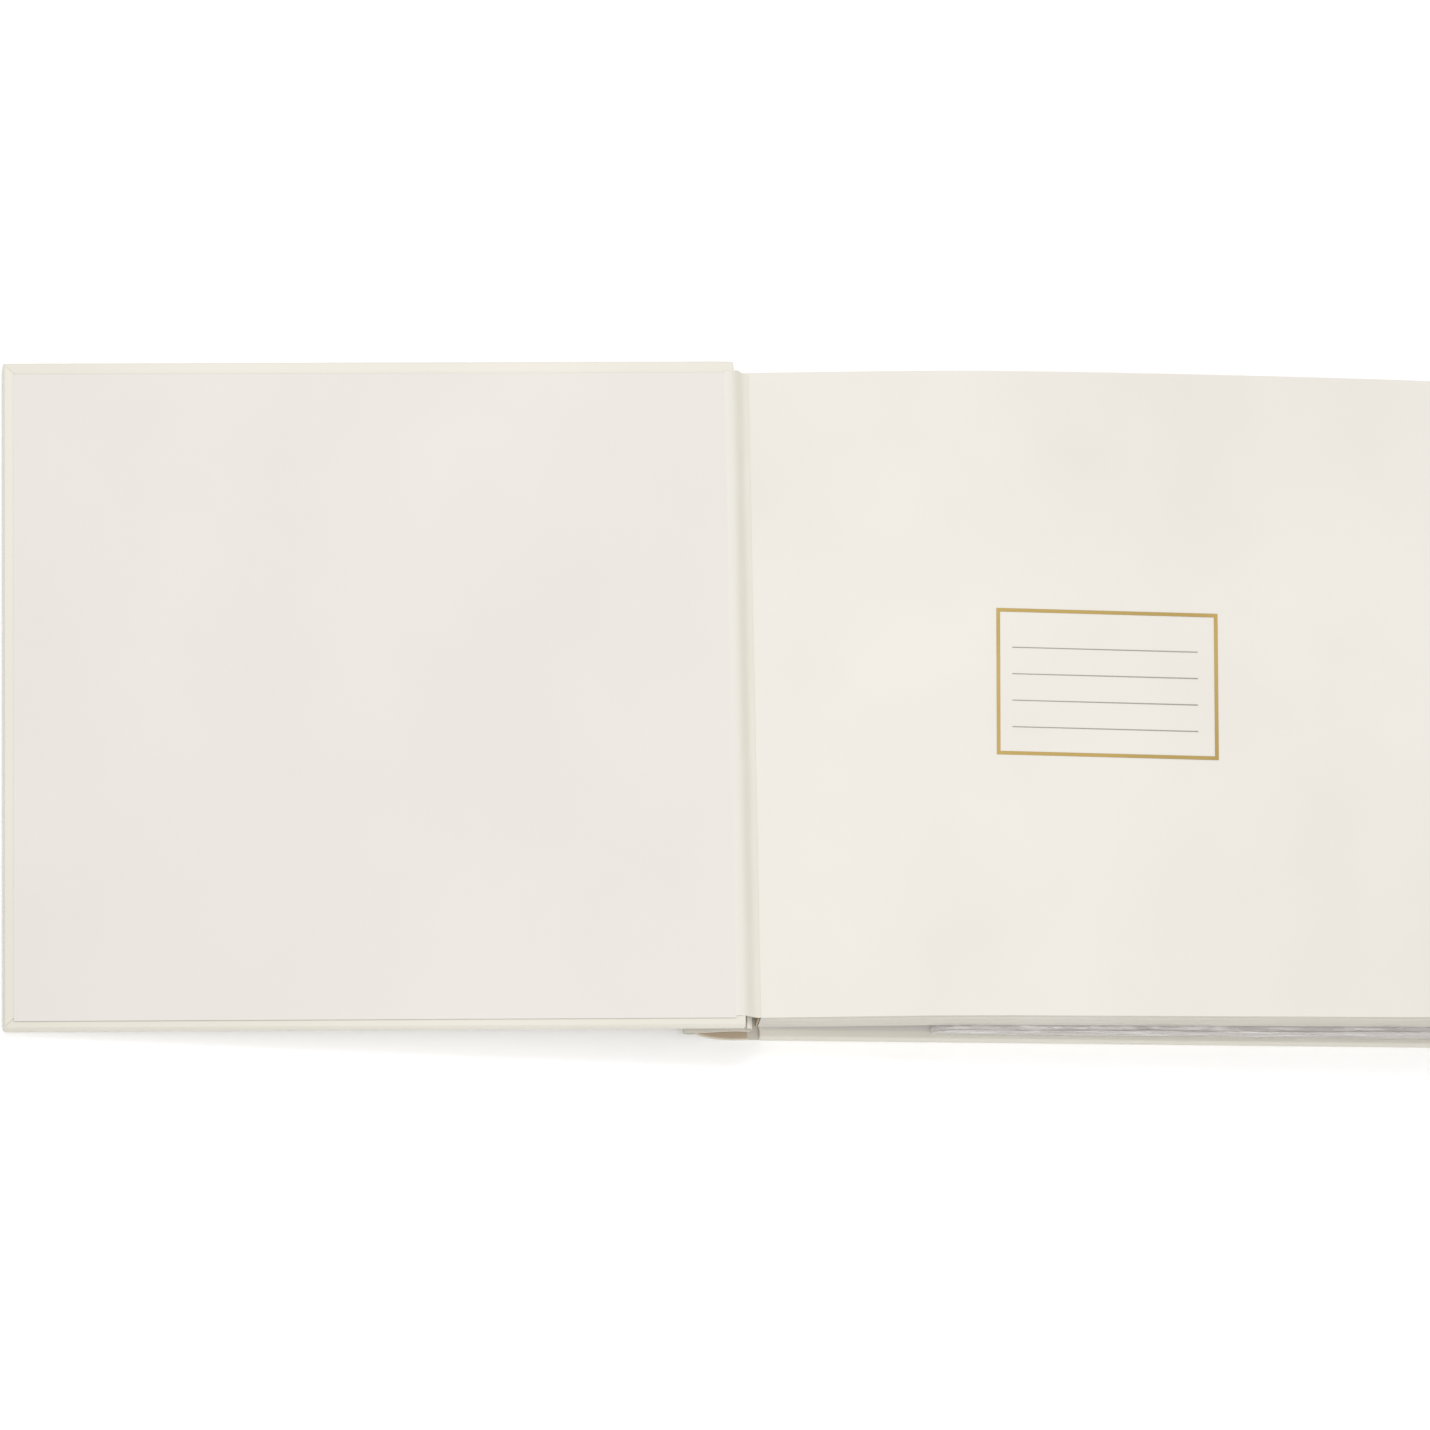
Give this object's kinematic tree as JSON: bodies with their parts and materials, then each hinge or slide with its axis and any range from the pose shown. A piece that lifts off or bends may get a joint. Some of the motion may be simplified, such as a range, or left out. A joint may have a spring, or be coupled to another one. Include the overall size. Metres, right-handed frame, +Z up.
{
  "type": "wedding guest book",
  "caption": "Hard-bound guest book lying open with a foil-framed first leaf; covers and leaves turn at the gutter and a clear bag of cards slides out from under the block.",
  "frame": {"origin": "centre of the underside of the back cover, on the surface the book lies on", "axes": "+Z up; +Y from the tail of the book to its head; +X from the spine to the fore-edge of the back cover"},
  "size_m": [0.4549, 0.214, 0.0227],
  "materials": {
    "greyboard": "dense grey board, matt",
    "cover_covering": "ivory covering paper, fine grain, satin",
    "endpaper": "ivory uncoated endpaper, matt",
    "page_paper": "ivory uncoated text paper, matt",
    "gauze": "open cotton gauze",
    "kraft": "brown kraft lining",
    "gold_foil": "hot-stamped gold foil, satin",
    "printed_line": "thin printed line, matt",
    "clear_film": "clear glossy film",
    "card_stock": "smooth ivory card"
  },
  "bodies": {
    "back_case": {"back_board": "greyboard", "back_cover_wrap": "cover_covering", "back_pastedown": "endpaper", "rear_joint_cloth": "cover_covering", "rear_flyleaf": "endpaper", "text_section_1": "page_paper", "text_section_2": "page_paper", "text_section_3": "page_paper", "text_section_4": "page_paper", "text_section_5": "page_paper", "text_section_6": "page_paper", "text_section_7": "page_paper", "spine_mull": "gauze", "spine_liner": "kraft"},
    "front_cover": {"front_board": "greyboard", "front_cover_wrap": "cover_covering", "front_pastedown": "endpaper", "front_joint_cloth": "cover_covering", "endpaper_fold": "endpaper"},
    "spine": {"spine_board": "greyboard", "spine_wrap": "cover_covering"},
    "flyleaf": {"flyleaf": "endpaper", "label_frame": "gold_foil", "label_rule_1": "printed_line", "label_rule_2": "printed_line", "label_rule_3": "printed_line", "label_rule_4": "printed_line"},
    "second_leaf": {"second_leaf": "page_paper"},
    "bag": {"bag_film": "clear_film", "bag_card_1": "card_stock", "bag_card_2": "card_stock", "bag_card_3": "card_stock", "bag_card_4": "card_stock"}
  },
  "joints": [
    {"name": "cover_hinge", "type": "hinge", "parent": "back_case", "child": "front_cover", "pos_m": [-0.11505, 0, 0.0164], "axis": [0, 1, 0], "range_deg": [0, 180.5], "deforming": ["front_joint_cloth", "endpaper_fold"]},
    {"name": "spine_hinge", "type": "hinge", "parent": "back_case", "child": "spine", "pos_m": [-0.1156, 0, 0.0012], "axis": [0, 1, 0], "range_deg": [0, 77.5], "deforming": ["rear_joint_cloth"]},
    {"name": "flyleaf_turn", "type": "hinge", "parent": "back_case", "child": "flyleaf", "pos_m": [-0.1131, 0, 0.0152], "axis": [0, 1, 0], "range_deg": [-178.5, 0], "deforming": ["flyleaf", "label_frame", "label_rule_1", "label_rule_2", "label_rule_3", "label_rule_4"]},
    {"name": "second_leaf_turn", "type": "hinge", "parent": "back_case", "child": "second_leaf", "pos_m": [-0.1131, 0, 0.0152], "axis": [0, 1, 0], "range_deg": [-178.5, 0], "deforming": ["second_leaf"]},
    {"name": "bag_slide", "type": "slide", "parent": "back_case", "child": "bag", "axis": [0, -1, 0], "range_m": [0, 0.12]}
  ],
  "couplings": [
    {"joint": "spine_hinge", "follows": "cover_hinge", "ratio": 0.4266}
  ]
}
